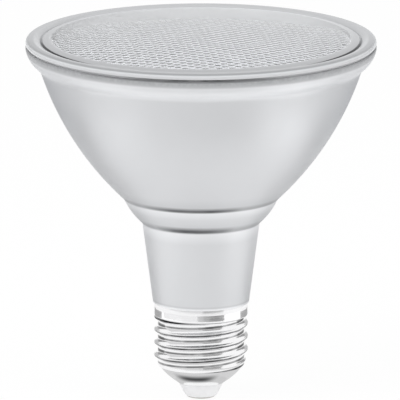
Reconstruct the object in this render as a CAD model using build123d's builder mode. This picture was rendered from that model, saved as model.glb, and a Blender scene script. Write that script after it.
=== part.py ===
"""A reflector spotlight lamp: pressed glass body, domed front lens and a medium screw cap.

Sizes are in millimetres. The lamp's axis is Z, its centre contact touches Z = 0 and the
lens faces up. Every piece is turned about that axis, and only the cap's thread is helical.
"""

import os
from math import sqrt

from build123d import *

# Glass body, from the rim down
rim_diameter = 97.0
rim_land_height = 0.8
rim_depth = 4.95
rim_overhang = 3.75
rim_underside_radius = 7.0
bowl_height = 37.0
bowl_foot_diameter = 43.0
bowl_curve_radius = 86.0
step_height = 1.25
step_overhang = 0.65
shoulder_height = 5.75
shoulder_radius = 19.0
neck_top_diameter = 32.5
neck_height = 22.65
neck_overhang = 0.25
rim_land_width = 5.7
recess_depth = 3.9

# Front lens and the bead of sealant under it
seal_thickness = 0.5
seal_inset = 0.5
seal_width = 4.2
lens_edge_height = 0.4
bead_height = 1.5
bead_outer_radius = 1.1
bead_top_width = 1.0
bead_inner_radius = 3.2
bead_width = 4.15
crease_depth = 0.8
crease_width = 0.65
face_drop = 0.3
dome_rise = 4.0
lens_plug_depth = 2.4
lens_fit = 0.4

# Screw cap: rolled knuckle thread of seven turns to the inch
thread_pitch = 25.4 / 7
thread_crest_diameter = 26.05
thread_depth = 1.095
crest_rounding = 0.55
thread_land_rise = 0.06
flank_foot_rise = 0.015
ridge_embed = 1.0
thread_length = 14.0
skirt_lip = 0.025
skirt_height = 3.8
skirt_edge_radius = 0.7
sheet_thickness = 0.4
cone_height = 4.95
cone_foot_diameter = 12.8
cone_curve_radius = 28.0
runout_height = 4.0
thread_start_drop = 2.7
cement_gap = 0.15

# Insulating tip and centre contact
tip_height = 3.7
tip_setback = 0.15
tip_taper = 1.6
tip_edge_radius = 0.5
tip_fit = 0.1
contact_head_height = 0.55
contact_margin = 0.1
contact_round = 0.9
contact_stem_diameter = 3.0
contact_stem_length = 4.0
stem_fit = 0.05

# Levels up the axis
tip_foot = contact_head_height
cone_foot = tip_foot + tip_height
thread_foot = cone_foot + cone_height
skirt_foot = thread_foot + thread_length
neck_foot = skirt_foot + skirt_height
neck_top = neck_foot + neck_height
shoulder_top = neck_top + shoulder_height
bowl_foot = shoulder_top + step_height
bowl_top = bowl_foot + bowl_height
land_foot = bowl_top + rim_depth
rim_top = land_foot + rim_land_height
recess_floor = rim_top - recess_depth
lens_seat = rim_top + seal_thickness
bead_top = lens_seat + bead_height
face_edge = bead_top - face_drop
dome_top = face_edge + dome_rise

# Radii that several pieces share
rim_radius = rim_diameter / 2
rim_root = rim_radius - rim_overhang
recess_radius = rim_radius - rim_land_width
bowl_foot_radius = bowl_foot_diameter / 2
step_foot_radius = bowl_foot_radius - step_overhang
neck_top_radius = neck_top_diameter / 2
crest_radius = thread_crest_diameter / 2
root_radius = crest_radius - thread_depth
core_radius = root_radius + thread_land_rise
shell_bore = core_radius - sheet_thickness
skirt_radius = crest_radius + skirt_lip
skirt_edge = skirt_radius - skirt_edge_radius
skirt_bore = skirt_radius - sheet_thickness
skirt_round = skirt_foot + skirt_edge_radius
skirt_seat = skirt_foot + sheet_thickness
neck_foot_radius = skirt_radius + neck_overhang
cone_foot_radius = cone_foot_diameter / 2
cone_hole = cone_foot_radius - sheet_thickness
tip_head_radius = cone_foot_radius - tip_setback
tip_foot_radius = tip_head_radius - tip_taper
tip_edge = tip_foot_radius - tip_edge_radius
stem_radius = contact_stem_diameter / 2

os.makedirs("parts", exist_ok=True)

# Pressed glass body: a rim with a rounded underside, the bowl, a stepped shoulder and a
# tapering neck. The collar and plug below the neck sit in the cap. Outlines run down the
# lamp, where a positive radius bulges outwards.
collar_radius = skirt_bore - cement_gap
plug_radius = shell_bore - cement_gap
plug_foot = thread_foot + cement_gap
collar_foot = skirt_seat + cement_gap

with BuildPart() as reflector_body:
    with BuildSketch(Plane.XZ):
        with BuildLine():
            Polyline((0, recess_floor), (recess_radius, recess_floor), (recess_radius, rim_top))
            Polyline((recess_radius, rim_top), (rim_radius, rim_top), (rim_radius, land_foot))
            RadiusArc((rim_radius, land_foot), (rim_root, bowl_top), rim_underside_radius)
            RadiusArc((rim_root, bowl_top), (bowl_foot_radius, bowl_foot), bowl_curve_radius)
            Line((bowl_foot_radius, bowl_foot), (step_foot_radius, shoulder_top))
            RadiusArc((step_foot_radius, shoulder_top), (neck_top_radius, neck_top), shoulder_radius)
            Line((neck_top_radius, neck_top), (neck_foot_radius, neck_foot))
            Polyline((neck_foot_radius, neck_foot), (collar_radius, neck_foot))
            Line((collar_radius, neck_foot), (collar_radius, collar_foot))
            Polyline((collar_radius, collar_foot), (plug_radius, collar_foot), (plug_radius, plug_foot))
            Polyline((plug_radius, plug_foot), (0, plug_foot), (0, recess_floor))
        make_face()
    revolve(axis=Axis.Z)

reflector_body.part.label = "reflector_body"
export_step(reflector_body.part, "parts/reflector_body.step")

# Bead of sealant that shows as the dark line between the two glass rims
seal_radius = rim_radius - seal_inset

with BuildPart() as lens_seal:
    with BuildSketch(Plane.XY.offset(rim_top)):
        Circle(seal_radius)
        Circle(seal_radius - seal_width, mode=Mode.SUBTRACT)
    extrude(amount=seal_thickness)

lens_seal.part.label = "lens_seal"
export_step(lens_seal.part, "parts/lens_seal.step")

# Front lens: a dome of even thickness inside a crease, a rounded bead round it, and a plug
# that drops into the body's recess
edge_top = lens_seat + lens_edge_height
bead_shoulder = rim_radius - bead_outer_radius
bead_inside = bead_shoulder - bead_top_width
crease_radius = rim_radius - bead_width
crease_foot = bead_top - crease_depth
face_radius = crease_radius - crease_width
dome_radius = (face_radius**2 + dome_rise**2) / (2 * dome_rise)
lens_plug_radius = recess_radius - lens_fit
lens_back = lens_seat - lens_plug_depth
back_rise = dome_radius - sqrt(dome_radius**2 - lens_plug_radius**2)
back_crown = lens_back + back_rise

with BuildPart() as front_lens:
    with BuildSketch(Plane.XZ):
        with BuildLine():
            RadiusArc((0, dome_top), (face_radius, face_edge), dome_radius)
            Line((face_radius, face_edge), (crease_radius, crease_foot))
            RadiusArc((crease_radius, crease_foot), (bead_inside, bead_top), bead_inner_radius)
            Line((bead_inside, bead_top), (bead_shoulder, bead_top))
            RadiusArc((bead_shoulder, bead_top), (rim_radius, edge_top), bead_outer_radius)
            Polyline((rim_radius, edge_top), (rim_radius, lens_seat), (lens_plug_radius, lens_seat))
            Polyline((lens_plug_radius, lens_seat), (lens_plug_radius, lens_back))
            RadiusArc((lens_plug_radius, lens_back), (0, back_crown), -dome_radius)
            Line((0, back_crown), (0, dome_top))
        make_face()
    revolve(axis=Axis.Z)

front_lens.part.label = "front_lens"
export_step(front_lens.part, "parts/front_lens.step")

# One turn of the thread has a narrow round crest between two wide hollow flanks, which
# meet it tangentially. The flanks run on below the barrel's surface, where the ridge is
# rooted, and the ridge fades out towards the cone.
half_pitch = thread_pitch / 2
both_radii = (thread_depth**2 + half_pitch**2) / (2 * thread_depth)
flank_curve = both_radii - crest_rounding
crest_share = crest_rounding / both_radii
flank_radius = crest_radius - thread_depth * crest_share
flank_height = half_pitch * crest_share
flank_gap = sqrt(flank_curve**2 - (flank_curve - flank_foot_rise) ** 2)
turn_half = half_pitch - flank_gap
flank_foot = root_radius + flank_foot_rise
ridge_root = flank_foot - ridge_embed
ridge_top = skirt_foot + sheet_thickness / 2
helix_foot = thread_foot - thread_start_drop
helix_height = ridge_top + half_pitch - helix_foot
foot_x = flank_foot - flank_radius
root_x = ridge_root - flank_radius
crest_x = crest_radius - flank_radius
trim_bore = ridge_root - ridge_embed
trim_radius = crest_radius + ridge_embed
runout_top = thread_foot + runout_height

# Rolled metal shell: the ridge is swept and trimmed first, then joined to the solid barrel,
# cone and skirt, and the inside is cut out last to leave one sheet
with BuildPart() as screw_shell:
    with BuildLine() as thread_path:
        Helix(thread_pitch, helix_height, flank_radius, center=(0, 0, helix_foot))
    with BuildSketch(Plane(thread_path.line @ 0, x_dir=(1, 0, 0), z_dir=thread_path.line % 0)):
        with BuildLine():
            Polyline((foot_x, turn_half), (root_x, turn_half), (root_x, -turn_half), (foot_x, -turn_half))
            RadiusArc((foot_x, -turn_half), (0, -flank_height), flank_curve)
            ThreePointArc((0, -flank_height), (crest_x, 0), (0, flank_height))
            RadiusArc((0, flank_height), (foot_x, turn_half), flank_curve)
        make_face()
    sweep(path=thread_path.line, is_frenet=True)
    with BuildSketch(Plane.XZ):
        with BuildLine():
            Polyline((trim_bore, ridge_top), (trim_radius, ridge_top), (trim_radius, runout_top))
            Polyline((trim_radius, runout_top), (shell_bore, thread_foot), (trim_bore, thread_foot))
            Line((trim_bore, thread_foot), (trim_bore, ridge_top))
        make_face()
    revolve(axis=Axis.Z, mode=Mode.INTERSECT)
    with BuildSketch(Plane.XZ):
        with BuildLine():
            Polyline((0, skirt_seat), (core_radius, skirt_seat), (core_radius, thread_foot))
            RadiusArc((core_radius, thread_foot), (cone_foot_radius, cone_foot), cone_curve_radius)
            Polyline((cone_foot_radius, cone_foot), (0, cone_foot), (0, skirt_seat))
        make_face()
    revolve(axis=Axis.Z)
    with BuildSketch(Plane.XZ):
        with BuildLine():
            Polyline((0, neck_foot), (skirt_radius, neck_foot), (skirt_radius, skirt_round))
            RadiusArc((skirt_radius, skirt_round), (skirt_edge, skirt_foot), skirt_edge_radius)
            Polyline((skirt_edge, skirt_foot), (0, skirt_foot), (0, neck_foot))
        make_face()
    revolve(axis=Axis.Z)
    with BuildSketch(Plane.XZ):
        with BuildLine():
            Polyline((0, neck_foot), (skirt_bore, neck_foot), (skirt_bore, skirt_seat))
            Polyline((skirt_bore, skirt_seat), (shell_bore, skirt_seat), (shell_bore, thread_foot))
            RadiusArc((shell_bore, thread_foot), (cone_hole, cone_foot), cone_curve_radius)
            Polyline((cone_hole, cone_foot), (0, cone_foot), (0, neck_foot))
        make_face()
    revolve(axis=Axis.Z, mode=Mode.SUBTRACT)

screw_shell.part.label = "screw_shell"
export_step(screw_shell.part, "parts/screw_shell.step")

# Insulating tip: fills the cone from inside and stands out below it as a short taper
stem_hole = stem_radius + stem_fit
stem_head = tip_foot + contact_stem_length
stem_top = stem_head + stem_fit
tip_round = tip_foot + tip_edge_radius
tip_seat = shell_bore - tip_fit
tip_waist = cone_hole - tip_fit

with BuildPart() as insulator:
    with BuildSketch(Plane.XZ):
        with BuildLine():
            Line((0, thread_foot), (tip_seat, thread_foot))
            RadiusArc((tip_seat, thread_foot), (tip_waist, cone_foot), cone_curve_radius)
            Polyline((tip_waist, cone_foot), (tip_head_radius, cone_foot), (tip_foot_radius, tip_round))
            RadiusArc((tip_foot_radius, tip_round), (tip_edge, tip_foot), tip_edge_radius)
            Polyline((tip_edge, tip_foot), (stem_hole, tip_foot), (stem_hole, stem_top))
            Polyline((stem_hole, stem_top), (0, stem_top), (0, thread_foot))
        make_face()
    revolve(axis=Axis.Z)

insulator.part.label = "insulator"
export_step(insulator.part, "parts/insulator.step")

# Centre contact: a rounded rivet head with its stem in the tip
contact_radius = tip_edge - contact_margin
contact_face = contact_radius - contact_round

with BuildPart() as centre_contact:
    with BuildSketch(Plane.XZ):
        with BuildLine():
            Line((0, 0), (contact_face, 0))
            EllipticalCenterArc(
                (contact_face, contact_head_height),
                contact_round,
                contact_head_height,
                start_angle=270,
                arc_size=90,
            )
            Polyline((contact_radius, tip_foot), (stem_radius, tip_foot), (stem_radius, stem_head))
            Polyline((stem_radius, stem_head), (0, stem_head), (0, 0))
        make_face()
    revolve(axis=Axis.Z)

centre_contact.part.label = "centre_contact"
export_step(centre_contact.part, "parts/centre_contact.step")
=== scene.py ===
# %% [markdown]
# # A reflector spotlight lamp
# The lamp is a pressed glass reflector with a patterned glass lens sealed to its rim and a
# screw cap on its neck. The CAD model gives the frame and the sizes. Here each piece is
# turned again with finer curves, and gets the glass, silver and nickel finishes that the
# CAD model can't show.

# %% Load the frame
from math import atan2, cos, hypot, pi, radians, sin, sqrt

import bpy
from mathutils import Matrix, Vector


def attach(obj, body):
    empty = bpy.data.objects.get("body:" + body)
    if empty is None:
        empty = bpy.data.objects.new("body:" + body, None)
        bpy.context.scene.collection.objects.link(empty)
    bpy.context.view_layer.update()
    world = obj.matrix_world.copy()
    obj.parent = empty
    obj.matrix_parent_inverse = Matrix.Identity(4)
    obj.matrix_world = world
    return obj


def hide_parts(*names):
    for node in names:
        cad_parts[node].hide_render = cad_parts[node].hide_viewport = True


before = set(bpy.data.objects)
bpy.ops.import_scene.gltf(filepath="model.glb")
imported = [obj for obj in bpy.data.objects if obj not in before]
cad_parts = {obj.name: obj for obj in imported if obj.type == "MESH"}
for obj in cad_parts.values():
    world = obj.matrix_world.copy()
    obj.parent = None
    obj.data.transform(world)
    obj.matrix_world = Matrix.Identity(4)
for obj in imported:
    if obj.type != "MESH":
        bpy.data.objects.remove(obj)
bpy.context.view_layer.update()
MM = 0.001

# %% [markdown]
# ## The camera
# Product photographs of lamps are taken from far away with a long lens, so that the rim and
# the cap keep their true widths. The camera looks down a little, and its lens is worked out
# from how many pixels one millimetre takes at the lamp.

# %% Camera
IMAGE_SIDE = 400
SENSOR_MM = 36
PIXELS_PER_MM = 3.613
CAMERA_DISTANCE_MM = 5000
CAMERA_ELEVATION = radians(12.4)
AIM_MM = (-0.28, 0, 55.7)

bpy.ops.object.select_all(action="DESELECT")
aim = Vector(AIM_MM) * MM
backwards = Vector((0, -cos(CAMERA_ELEVATION), sin(CAMERA_ELEVATION)))
bpy.ops.object.camera_add(location=aim + backwards * CAMERA_DISTANCE_MM * MM)
camera = bpy.context.object
camera.rotation_euler = (pi / 2 - CAMERA_ELEVATION, 0, 0)
camera.data.sensor_width = SENSOR_MM
camera.data.lens = PIXELS_PER_MM * CAMERA_DISTANCE_MM * SENSOR_MM / IMAGE_SIDE
camera.data.clip_end = 2 * CAMERA_DISTANCE_MM * MM
bpy.context.scene.camera = camera
bpy.context.scene.view_settings.view_transform = "Standard"
print("camera lens in mm:", round(camera.data.lens))

# %% [markdown]
# ## Turning a piece
# Nearly every piece of this lamp is round. A round piece could be a stack of cylinders, but
# a lathe is closer to how it is made: one outline is drawn point by point from a single
# vertex, its corners are rounded, and the outline is spun about the axis. Outlines run down
# the lamp, and an arc with a positive radius bulges outwards.

# %% Lathe tools
SPIN_STEPS = 224
MERGE_DISTANCE = 0.002 * MM
SMOOTH_ANGLE = radians(32)
EASE_SEGMENTS = 4


def arc(start, end, radius, steps):
    """The points after start on a circle arc that ends at end."""
    across, down = end[0] - start[0], end[1] - start[1]
    chord = hypot(across, down)
    side = 1 if radius > 0 else -1
    reach = side * sqrt(radius**2 - chord**2 / 4)
    centre = (
        (start[0] + end[0]) / 2 + down / chord * reach,
        (start[1] + end[1]) / 2 - across / chord * reach,
    )
    first = atan2(start[1] - centre[1], start[0] - centre[0])
    last = atan2(end[1] - centre[1], end[0] - centre[0])
    sweep = (last - first + pi) % (2 * pi) - pi
    turns = [first + sweep * step / steps for step in range(1, steps + 1)]
    return [(centre[0] + abs(radius) * cos(t), centre[1] + abs(radius) * sin(t)) for t in turns]


def ease_corner(piece, corner, reach):
    """Round the outline's vertex at corner, over that reach on both sides."""
    bpy.ops.mesh.select_all(action="DESELECT")
    bpy.ops.object.mode_set(mode="OBJECT")
    place = Vector((corner[0], 0, corner[1])) * MM
    nearest = min(piece.data.vertices, key=lambda vertex: (vertex.co - place).length)
    nearest.select = True
    bpy.ops.object.mode_set(mode="EDIT")
    bpy.ops.mesh.bevel(offset=reach * MM, segments=EASE_SEGMENTS, affect="VERTICES")


def turn_piece(name, outline, eased=(), sweep=2 * pi):
    """Draw an outline of (radius, height) points in millimetres and spin it about the axis."""
    bpy.ops.object.select_all(action="DESELECT")
    bpy.ops.mesh.primitive_plane_add(size=MM)
    piece = bpy.context.object
    piece.name = name
    bpy.ops.object.mode_set(mode="EDIT")
    bpy.ops.mesh.select_all(action="SELECT")
    bpy.ops.mesh.merge(type="CENTER")
    bpy.ops.transform.translate(value=(outline[0][0] * MM, 0, outline[0][1] * MM))
    for here, there in zip(outline, outline[1:]):
        step = ((there[0] - here[0]) * MM, 0, (there[1] - here[1]) * MM)
        bpy.ops.mesh.extrude_region_move(TRANSFORM_OT_translate={"value": step})
    for corner, reach in eased:
        ease_corner(piece, corner, reach)
    bpy.ops.mesh.select_all(action="SELECT")
    bpy.ops.mesh.spin(steps=SPIN_STEPS, angle=sweep, center=(0, 0, 0), axis=(0, 0, 1))
    bpy.ops.mesh.select_all(action="SELECT")
    bpy.ops.mesh.remove_doubles(threshold=MERGE_DISTANCE)
    bpy.ops.mesh.normals_make_consistent(inside=False)
    bpy.ops.object.mode_set(mode="OBJECT")
    bpy.ops.object.shade_smooth_by_angle(angle=SMOOTH_ANGLE)
    print(name, "has", len(piece.data.polygons), "faces")
    return piece


print("steps in one full turn:", SPIN_STEPS)

# %% [markdown]
# ## The glass reflector
# The body is one pressing: a rim with a rounded underside, a deep bowl, a stepped shoulder
# and a tapering neck, with a plug below it that the cap is cemented to. It could be a bowl
# joined to a neck, but one outline keeps the glass in one piece. Pressed glass is never sharp,
# so a hollow fillet leads from the rim into the bowl, and the rim's upper edge, both sides of
# the step and both ends of the neck are eased.

# %% Reflector body
RECESS_FLOOR = 95.5
RECESS_EDGE = (42.8, RECESS_FLOOR)
RIM_TOP = 99.4
RIM_EDGE = (48.5, RIM_TOP)
RIM_LAND = (48.5, 98.6)
RIM_RADIUS = 7.0
BOWL_TOP = (44.75, 93.65)
BOWL_FOOT = (21.5, 56.65)
BOWL_RADIUS = 86.0
UNDERCUT_RADIUS = 5.3
UNDERCUT_STEPS = 4
STEP_FOOT = (20.85, 55.4)
SHOULDER_RADIUS = 19.0
NECK_TOP = (16.25, 49.65)
NECK_FOOT = (13.3, 27.0)
COLLAR = (12.5, 23.75)
PLUG = (11.44, 9.35)

rim_curve = arc(RIM_LAND, BOWL_TOP, RIM_RADIUS, steps=16)[:-UNDERCUT_STEPS]
bowl_curve = arc(BOWL_TOP, BOWL_FOOT, BOWL_RADIUS, steps=32)
body_outline = [
    (0, RECESS_FLOOR),
    RECESS_EDGE,
    (RECESS_EDGE[0], RIM_TOP),
    RIM_EDGE,
    RIM_LAND,
    *rim_curve,
    *arc(rim_curve[-1], bowl_curve[0], -UNDERCUT_RADIUS, steps=8),
    *bowl_curve[1:],
    STEP_FOOT,
    *arc(STEP_FOOT, NECK_TOP, SHOULDER_RADIUS, steps=14),
    NECK_FOOT,
    (COLLAR[0], NECK_FOOT[1]),
    COLLAR,
    (PLUG[0], COLLAR[1]),
    PLUG,
    (0, PLUG[1]),
]
body_eased = [
    (RIM_EDGE, 0.25),
    (BOWL_FOOT, 0.45),
    (STEP_FOOT, 0.3),
    (NECK_TOP, 0.4),
    (NECK_FOOT, 0.25),
]
body = turn_piece("reflector_glass", body_outline, body_eased)

# %% [markdown]
# ## The sealant
# A bead of sealant joins the lens to the rim. It is set back from the edge, so it shows as a
# dark line in a narrow gap, and its face is drawn in a little where it shrank as it cured. A
# plain ring would do for the gap, but the hollow face keeps the line dark and even. Its finish
# adds a painted shade on the lip.

# %% Seal between rim and lens
LENS_SEAT = 99.9
SEAL_OUTSIDE = 48.0
SEAL_INSIDE = 43.8
SEAL_HOLLOW_RADIUS = 0.6

seal_outline = [
    (SEAL_INSIDE, LENS_SEAT),
    (SEAL_OUTSIDE, LENS_SEAT),
    *arc((SEAL_OUTSIDE, LENS_SEAT), (SEAL_OUTSIDE, RIM_TOP), -SEAL_HOLLOW_RADIUS, steps=6),
    (SEAL_INSIDE, RIM_TOP),
    (SEAL_INSIDE, LENS_SEAT),
]
seal = turn_piece("sealant_bead", seal_outline)

# %% [markdown]
# ## The lens blank
# The lens is a dome inside a crease, with a rounded bead round it that rests on the seal and
# a plug that drops into the bowl. Its back follows the dome, so the glass is as thick in the
# middle as at the edge. It is turned as one outline that stops at the edge of the pattern
# underneath, so that the blank has a round hole in its back.

# %% Lens blank
DOME_RISE = 4.0
FACE_EDGE = (43.7, 101.1)
DOME_TOP = FACE_EDGE[1] + DOME_RISE
DOME_RADIUS = (FACE_EDGE[0] ** 2 + DOME_RISE**2) / (2 * DOME_RISE)
CREASE = (44.35, 100.6)
BEAD_INSIDE = (46.4, 101.4)
BEAD_INSIDE_RADIUS = 3.2
BEAD_SHOULDER = (47.4, 101.4)
BEAD_EDGE = (48.5, 100.3)
BEAD_RADIUS = 1.1
LENS_PLUG = 42.4
LENS_BACK = 97.5
FIELD_EDGE = 41.0


def back_height(radius):
    """Height of the lens's back at that radius, on the same curve as its dome."""
    edge_level = sqrt(DOME_RADIUS**2 - LENS_PLUG**2)
    return LENS_BACK + sqrt(DOME_RADIUS**2 - radius**2) - edge_level


lens_outline = [
    (0, DOME_TOP),
    *arc((0, DOME_TOP), FACE_EDGE, DOME_RADIUS, steps=18),
    CREASE,
    *arc(CREASE, BEAD_INSIDE, BEAD_INSIDE_RADIUS, steps=10),
    BEAD_SHOULDER,
    *arc(BEAD_SHOULDER, BEAD_EDGE, BEAD_RADIUS, steps=10),
    (BEAD_EDGE[0], LENS_SEAT),
    (LENS_PLUG, LENS_SEAT),
    (LENS_PLUG, LENS_BACK),
    (FIELD_EDGE, back_height(FIELD_EDGE)),
]
lens_eased = [
    (FACE_EDGE, 0.2),
    ((BEAD_EDGE[0], LENS_SEAT), 0.15),
    ((LENS_PLUG, LENS_BACK), 0.3),
]
lens = turn_piece("lens_glass", lens_outline, lens_eased)

# %% [markdown]
# ## The pattern under the lens
# The back of such a lens is pressed with hundreds of small round lenslets that spread the
# beam. A bump in the material could hint at them, but the flecks of light that they throw
# come from real curved glass. One six-sided lenslet is modelled: a fan of triangles is cut
# finer, and its points are let down to a shallow bowl.

# %% One lenslet
LENSLET_PITCH = 2.1
LENSLET_DEPTH = 0.14
LENSLET_CUTS = 2
LENSLET_SIDES = 6

corner_reach = LENSLET_PITCH / sqrt(3)
column_step = LENSLET_PITCH * sqrt(3) / 2
bpy.ops.object.select_all(action="DESELECT")
bpy.ops.mesh.primitive_circle_add(
    vertices=LENSLET_SIDES,
    radius=corner_reach * MM,
    fill_type="TRIFAN",
    rotation=(0, 0, pi / LENSLET_SIDES),
)
field = bpy.context.object
bpy.ops.object.transform_apply(location=True, rotation=True, scale=True)
bpy.ops.object.mode_set(mode="EDIT")
bpy.ops.mesh.select_all(action="SELECT")
bpy.ops.mesh.subdivide(number_cuts=LENSLET_CUTS)
bpy.ops.object.mode_set(mode="OBJECT")
for vertex in field.data.vertices:
    share = hypot(vertex.co.x, vertex.co.y) / (corner_reach * MM)
    vertex.co.z = -LENSLET_DEPTH * (1 - share**2) * MM
lenslet_faces = len(field.data.polygons)
print("faces in one lenslet:", lenslet_faces)

# %% [markdown]
# ## A field of lenslets
# Lenslets lie like the cells of a honeycomb. Every one could be placed by itself, but a pair
# is enough: a copy is set beside the first one, half a step along, and two arrays repeat the
# two over a rectangle, which is turned as far as the pattern is.

# %% Field of lenslets
FIELD_COLUMNS = 24
FIELD_ROWS = 41
FIELD_TURN = radians(7.5)

bpy.ops.object.mode_set(mode="EDIT")
bpy.ops.mesh.select_all(action="SELECT")
bpy.ops.mesh.duplicate_move(
    TRANSFORM_OT_translate={"value": (column_step * MM, LENSLET_PITCH / 2 * MM, 0)}
)
bpy.ops.mesh.select_all(action="SELECT")
middle = (-(FIELD_COLUMNS - 1) * column_step * MM, -(FIELD_ROWS - 1) / 2 * LENSLET_PITCH * MM, 0)
bpy.ops.transform.translate(value=middle)
bpy.ops.object.mode_set(mode="OBJECT")
for count, offset in ((FIELD_COLUMNS, (2 * column_step, 0)), (FIELD_ROWS, (0, LENSLET_PITCH))):
    repeat = field.modifiers.new("repeat", "ARRAY")
    repeat.use_relative_offset = False
    repeat.use_constant_offset = True
    repeat.constant_offset_displace = (offset[0] * MM, offset[1] * MM, 0)
    repeat.count = count
    bpy.ops.object.modifier_apply(modifier=repeat.name)
field.rotation_euler.z = FIELD_TURN
bpy.ops.object.transform_apply(location=True, rotation=True, scale=True)
print("lenslets in the rectangle:", len(field.data.polygons) // lenslet_faces)

# %% [markdown]
# ## A round field
# The pattern ends in a circle. Cutting it there would leave slivers of lenslets, so the ones
# that reach past the edge are deleted whole. What is left is bent to the curve of the lens's
# back, by lifting each point to the height that the back has there.

# %% Round field
field_limit = (FIELD_EDGE - corner_reach) * MM
faces = field.data.polygons
bpy.ops.object.mode_set(mode="EDIT")
bpy.ops.mesh.select_all(action="DESELECT")
bpy.ops.object.mode_set(mode="OBJECT")
kept = 0
for first in range(0, len(faces), lenslet_faces):
    lenslet = faces[first : first + lenslet_faces]
    centre = sum((face.center for face in lenslet), Vector()) / lenslet_faces
    outside = hypot(centre.x, centre.y) > field_limit
    kept += not outside
    for face in lenslet:
        face.select = outside
bpy.ops.object.mode_set(mode="EDIT")
bpy.ops.mesh.delete(type="FACE")
bpy.ops.mesh.select_all(action="SELECT")
bpy.ops.mesh.remove_doubles(threshold=MERGE_DISTANCE)
bpy.ops.object.mode_set(mode="OBJECT")
for vertex in field.data.vertices:
    vertex.co.z += back_height(hypot(vertex.co.x, vertex.co.y) / MM) * MM
print("lenslets kept:", kept)

# %% [markdown]
# ## One closed lens
# Light only bends rightly in glass that is closed all round. The field is joined to the blank,
# and the two open edges that face each other are bridged, so the lens becomes one body.

# %% Closed lens
lens.select_set(True)
bpy.context.view_layer.objects.active = lens
bpy.ops.object.join()
bpy.ops.object.mode_set(mode="EDIT")
bpy.ops.mesh.select_all(action="DESELECT")
bpy.ops.mesh.select_mode(type="EDGE")
bpy.ops.mesh.select_non_manifold(
    extend=False, use_wire=False, use_multi_face=False, use_non_contiguous=False, use_verts=False
)
bpy.ops.mesh.bridge_edge_loops()
bpy.ops.mesh.select_mode(type="VERT")
bpy.ops.mesh.select_all(action="SELECT")
bpy.ops.mesh.normals_make_consistent(inside=False)
bpy.ops.object.mode_set(mode="OBJECT")
bpy.ops.object.shade_smooth_by_angle(angle=SMOOTH_ANGLE)
print("faces in the lens:", len(lens.data.polygons))

# %% [markdown]
# ## The screw cap
# The cap is drawn from thin sheet as a plain cup with a skirt and a cone. The skirt's upper
# edge is turned in a little to meet the neck. A cap could be built round a finished spiral, but
# the real thread is rolled into the plain cup, so a plain cup is turned first, with many rings
# down its barrel for the thread to come. A ring close to each end of the skirt holds its side
# straight in the smooth shading.

# %% Screw shell
SKIRT_TOP = (12.87, 27.0)
SKIRT_LIP = (13.05, 25.7)
SKIRT_ROUND = (13.05, 23.9)
SKIRT_EDGE = (12.35, 23.2)
SKIRT_ROUND_RADIUS = 0.7
BARREL_TOP = (11.99, 23.2)
BARREL_FOOT = (11.99, 9.2)
BARREL_RINGS = 112
CONE_FOOT = (6.4, 4.25)
CONE_RADIUS = 28.0
SHEET = 0.4
SKIRT_HOLD = 0.15
BARREL_BORE = BARREL_TOP[0] - SHEET
SKIRT_BORE = SKIRT_TOP[0] - SHEET

cone_inside = (CONE_FOOT[0] - SHEET, CONE_FOOT[1])
barrel_length = BARREL_TOP[1] - BARREL_FOOT[1]
barrel_rings = [
    (BARREL_TOP[0], BARREL_TOP[1] - barrel_length * ring / BARREL_RINGS)
    for ring in range(1, BARREL_RINGS + 1)
]
shell_outline = [
    SKIRT_TOP,
    SKIRT_LIP,
    (SKIRT_LIP[0], SKIRT_LIP[1] - SKIRT_HOLD),
    (SKIRT_ROUND[0], SKIRT_ROUND[1] + SKIRT_HOLD),
    SKIRT_ROUND,
    *arc(SKIRT_ROUND, SKIRT_EDGE, SKIRT_ROUND_RADIUS, steps=8),
    BARREL_TOP,
    *barrel_rings,
    *arc(BARREL_FOOT, CONE_FOOT, CONE_RADIUS, steps=16),
    cone_inside,
    *arc(cone_inside, (BARREL_BORE, BARREL_FOOT[1]), -CONE_RADIUS, steps=6),
    (BARREL_BORE, BARREL_TOP[1] + SHEET),
    (SKIRT_BORE, BARREL_TOP[1] + SHEET),
    (SKIRT_BORE, SKIRT_TOP[1]),
    SKIRT_TOP,
]
shell = turn_piece("nickel_shell", shell_outline)

# %% [markdown]
# ## The rolled thread
# The thread is a knuckle thread: a narrow round crest between two wide hollow flanks, which are
# arcs that meet it smoothly. Every point of the barrel is pushed out to where the rollers would
# leave the sheet at its height and angle. The ridge runs out above the cone, and tucks in under
# the skirt.

# %% Rolled thread
INCH = 25.4
TURNS_PER_INCH = 7
THREAD_PITCH = INCH / TURNS_PER_INCH
THREAD_CREST = 13.025
THREAD_DEPTH = 1.095
CREST_ROUNDING = 0.3
HELIX_FOOT = 6.5
RUNOUT_SLOPE = 2.435 / 4.0
TUCK_SLOPE = 1.4
TUCK_START = SKIRT_EDGE[0] - 0.1

half_pitch = THREAD_PITCH / 2
flank_curve = (THREAD_DEPTH**2 + half_pitch**2) / (2 * THREAD_DEPTH) - CREST_ROUNDING
crest_half = half_pitch * CREST_ROUNDING / (CREST_ROUNDING + flank_curve)
thread_root = THREAD_CREST - THREAD_DEPTH


def thread_radius(angle, height):
    """How far out the rolled sheet lies at that angle and height, in millimetres."""
    turn = (height - HELIX_FOOT - THREAD_PITCH * angle / (2 * pi)) / THREAD_PITCH
    away = abs(turn - round(turn)) * THREAD_PITCH
    if away < crest_half:
        rolled = THREAD_CREST - CREST_ROUNDING + sqrt(CREST_ROUNDING**2 - away**2)
    else:
        rolled = thread_root + flank_curve - sqrt(flank_curve**2 - (half_pitch - away) ** 2)
    runout = BARREL_BORE + (height - BARREL_FOOT[1]) * RUNOUT_SLOPE
    tuck = TUCK_START + (BARREL_TOP[1] - height) * TUCK_SLOPE
    return max(BARREL_TOP[0], min(rolled, runout, tuck))


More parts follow.
